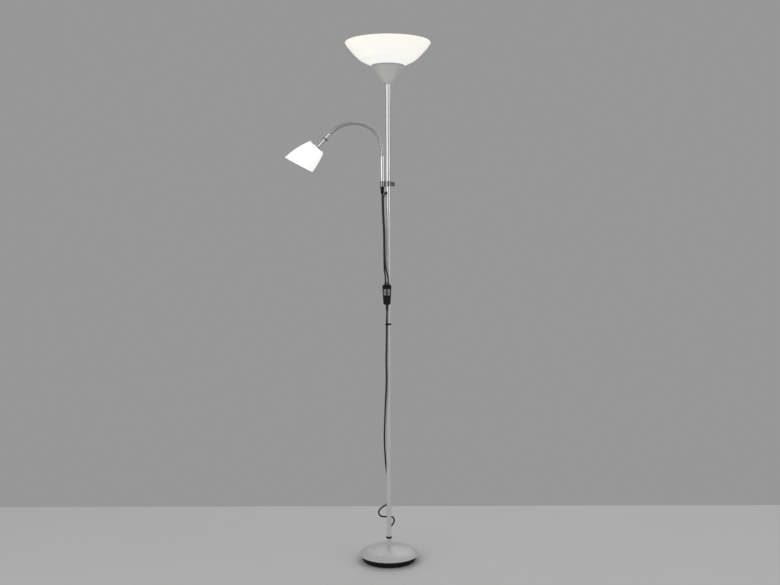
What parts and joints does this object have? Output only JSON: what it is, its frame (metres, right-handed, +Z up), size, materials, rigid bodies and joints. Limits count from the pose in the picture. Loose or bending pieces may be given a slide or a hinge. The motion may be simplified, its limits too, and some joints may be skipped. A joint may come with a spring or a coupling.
{
  "type": "floor lamp",
  "caption": "Torchiere floor lamp with an opal bowl on a slim silver pole, an opal reading light on a flexible arm, an in-line double switch and a round weighted base.",
  "frame": {"origin": "centre of the foam pad where it rests on the floor, on the axis of the pole", "axes": "+Z is up along the pole, -X is towards the reading arm and -Y is the front, with the switch"},
  "size_m": [0.5012, 0.293, 1.7944],
  "materials": {
    "foam": "matt foam",
    "black_plastic": "fine grain",
    "iron": "as cast",
    "satin_nickel": "satin nickel plate",
    "silver_paint": "smooth silver lacquer",
    "zinc": "zinc plate",
    "white_holder": "smooth",
    "opal_bowl": "opal, lit from inside",
    "opal_shade": "opal, lit from inside",
    "lamp_glass": "frosted, lit",
    "dark_metal": "black nickel, polished",
    "chrome": "polished",
    "hose_metal": "fine ribbed, plated",
    "black_gloss": "glossy",
    "black_rubber": "matt",
    "cord_black": "smooth jacket, slight sheen",
    "black_fabric": "woven tape",
    "plated_pins": "nickelled brass"
  },
  "bodies": {
    "root": {"floor_pad": "foam", "base_tray": "black_plastic", "base_weight": "iron", "base_cover": "satin_nickel", "base_rod": "zinc", "base_washer": "zinc", "base_nut": "zinc", "pole_foot_ring": "black_plastic", "pole_section_1": "silver_paint", "pole_section_2": "silver_paint", "pole_section_3": "silver_paint", "pole_section_4": "satin_nickel", "pole_couplers": "zinc", "pole_end_bushes": "zinc", "head_cup": "satin_nickel", "head_rod": "zinc", "head_nut": "zinc", "bowl_lampholder": "white_holder", "bowl_holder_ring": "white_holder", "bowl_shade": "opal_bowl", "bowl_bulb": "lamp_glass", "switch_front": "black_gloss", "switch_back": "black_gloss", "switch_screws": "zinc", "switch_reliefs": "black_rubber", "pole_grommet": "black_rubber", "reading_cord": "cord_black", "bowl_cord": "cord_black", "mains_cord": "cord_black", "mains_cord_hank": "cord_black", "cable_clip_upper": "black_plastic", "cable_clip_lower": "black_plastic", "hank_tie": "black_fabric", "plug_body": "black_plastic", "plug_pins": "plated_pins", "plug_relief": "black_rubber"},
    "rocker_reading": {"switch_rocker_reading": "black_gloss"},
    "rocker_bowl": {"switch_rocker_bowl": "black_gloss"},
    "arm": {"arm_clamp": "dark_metal", "stem_sleeve": "chrome", "stem_gland": "black_plastic", "gooseneck_1": "hose_metal"},
    "thumbscrew": {"clamp_thumbscrew": "dark_metal"},
    "hose_link_1": {"gooseneck_2": "hose_metal"},
    "hose_link_2": {"gooseneck_3": "hose_metal"},
    "hose_link_3": {"gooseneck_4": "hose_metal"},
    "reading_head": {"gooseneck_5": "hose_metal", "gooseneck_ferrule": "chrome", "neck_collar": "dark_metal", "reading_neck": "chrome", "reading_cap": "dark_metal", "reading_lampholder": "white_holder", "reading_holder_ring": "white_holder", "reading_bulb": "lamp_glass", "reading_shade": "opal_shade"}
  },
  "joints": [
    {"name": "arm_swivel", "type": "hinge", "parent": "root", "child": "arm", "pos_m": [0, 0, 1.313], "axis": [0, 0, 1], "range_deg": [-60, 10], "deforming": ["reading_cord"]},
    {"name": "thumbscrew_turn", "type": "hinge", "parent": "arm", "child": "thumbscrew", "pos_m": [0.0125, 0, 1.313], "axis": [1, 0, 0], "range_deg": [-180, 180]},
    {"name": "rocker_reading_tilt", "type": "hinge", "parent": "root", "child": "rocker_reading", "pos_m": [-0.0115, -0.0253, 0.941], "axis": [1, 0, 0], "range_deg": [-14, 0]},
    {"name": "rocker_bowl_tilt", "type": "hinge", "parent": "root", "child": "rocker_bowl", "pos_m": [0.0015, -0.0253, 0.941], "axis": [1, 0, 0], "range_deg": [-14, 0]},
    {"name": "gooseneck_bend_1", "type": "hinge", "parent": "arm", "child": "hose_link_1", "pos_m": [-0.02141, 0, 1.44142], "axis": [0, -1, 0], "range_deg": [-12, 9], "deforming": ["gooseneck_1", "gooseneck_2"]},
    {"name": "gooseneck_bend_2", "type": "hinge", "parent": "hose_link_1", "child": "hose_link_2", "pos_m": [-0.04474, 0, 1.48933], "axis": [0, -1, 0], "range_deg": [-12, 9], "deforming": ["gooseneck_2", "gooseneck_3"]},
    {"name": "gooseneck_bend_3", "type": "hinge", "parent": "hose_link_2", "child": "hose_link_3", "pos_m": [-0.09003, 0, 1.51742], "axis": [0, -1, 0], "range_deg": [-12, 9], "deforming": ["gooseneck_3", "gooseneck_4"]},
    {"name": "gooseneck_bend_4", "type": "hinge", "parent": "hose_link_3", "child": "reading_head", "pos_m": [-0.14342, 0, 1.51759], "axis": [0, -1, 0], "range_deg": [-12, 9], "deforming": ["gooseneck_4", "gooseneck_5"]}
  ],
  "couplings": [
    {"joint": "gooseneck_bend_2", "follows": "gooseneck_bend_1", "ratio": 1},
    {"joint": "gooseneck_bend_3", "follows": "gooseneck_bend_1", "ratio": 1},
    {"joint": "gooseneck_bend_4", "follows": "gooseneck_bend_1", "ratio": 1}
  ]
}
